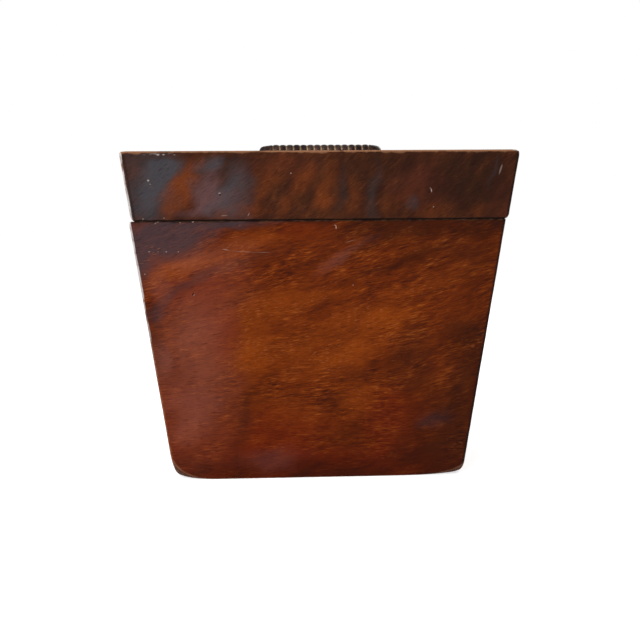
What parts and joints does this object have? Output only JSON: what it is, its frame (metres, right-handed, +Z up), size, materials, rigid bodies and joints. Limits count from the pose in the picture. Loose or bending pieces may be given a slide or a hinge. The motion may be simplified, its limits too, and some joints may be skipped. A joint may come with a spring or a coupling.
{
  "type": "sarcophagus box",
  "caption": "Tapered wooden box with a hinged lid and a ring-turned drop handle on top, for keeping things in.",
  "frame": {"origin": "on the plane of the underside, below the middle of the lid", "axes": "+Z up; -Y is the plain front, +Y the back with the hinges; +X to the right of someone facing the front"},
  "size_m": [0.2536, 0.1776, 0.2255],
  "materials": {
    "body_veneer": "flame mahogany veneer, old shellac polish, satin with dull patches",
    "lid_veneer": "darker flame mahogany veneer, old shellac polish, dull",
    "lipping": "solid mahogany, polished",
    "carcase": "bare pine, aged",
    "lining": "wool baize over card",
    "handle_brass": "cast and turned brass, dark old patina rubbed on the high places",
    "hinge_brass": "rolled brass, dull",
    "iron": "wrought iron, dark"
  },
  "bodies": {
    "case": {"body_veneer_front": "body_veneer", "body_lipping_front": "lipping", "body_wall_front": "carcase", "body_lining_front": "lining", "body_veneer_back": "body_veneer", "body_lipping_back": "lipping", "body_wall_back": "carcase", "body_lining_back": "lining", "body_veneer_left": "body_veneer", "body_lipping_left": "lipping", "body_wall_left": "carcase", "body_lining_left": "lining", "body_veneer_right": "body_veneer", "body_lipping_right": "lipping", "body_wall_right": "carcase", "body_lining_right": "lining", "base_board": "carcase", "body_lining_floor": "lining", "base_brads": "iron", "hinge_screws_body": "hinge_brass", "hinge_left_body_leaf": "hinge_brass", "hinge_left_pin": "hinge_brass", "hinge_right_body_leaf": "hinge_brass", "hinge_right_pin": "hinge_brass"},
    "lid": {"lid_veneer_front": "lid_veneer", "lid_lipping_front": "lipping", "lid_wall_front": "carcase", "lid_lining_front": "lining", "lid_veneer_back": "lid_veneer", "lid_lipping_back": "lipping", "lid_wall_back": "carcase", "lid_lining_back": "lining", "lid_veneer_left": "lid_veneer", "lid_lipping_left": "lipping", "lid_wall_left": "carcase", "lid_lining_left": "lining", "lid_veneer_right": "lid_veneer", "lid_lipping_right": "lipping", "lid_wall_right": "carcase", "lid_lining_right": "lining", "lid_board": "carcase", "lid_veneer_top": "lid_veneer", "lid_lining_top": "lining", "hinge_screws_lid": "hinge_brass", "handle_nuts": "iron", "handle_washers": "iron", "hinge_left_lid_leaf": "hinge_brass", "handle_post_left": "handle_brass", "handle_rose_left": "handle_brass", "hinge_right_lid_leaf": "hinge_brass", "handle_post_right": "handle_brass", "handle_rose_right": "handle_brass"},
    "bail": {"handle_bail": "handle_brass"}
  },
  "joints": [
    {"name": "lid_hinge", "type": "hinge", "parent": "case", "child": "lid", "pos_m": [0, 0.08061, 0.1732], "axis": [-1, 0, 0], "range_deg": [0, 95]},
    {"name": "bail_swing", "type": "hinge", "parent": "lid", "child": "bail", "pos_m": [0.003, 0, 0.2222], "axis": [-1, 0, 0], "range_deg": [0, 184.17]}
  ]
}
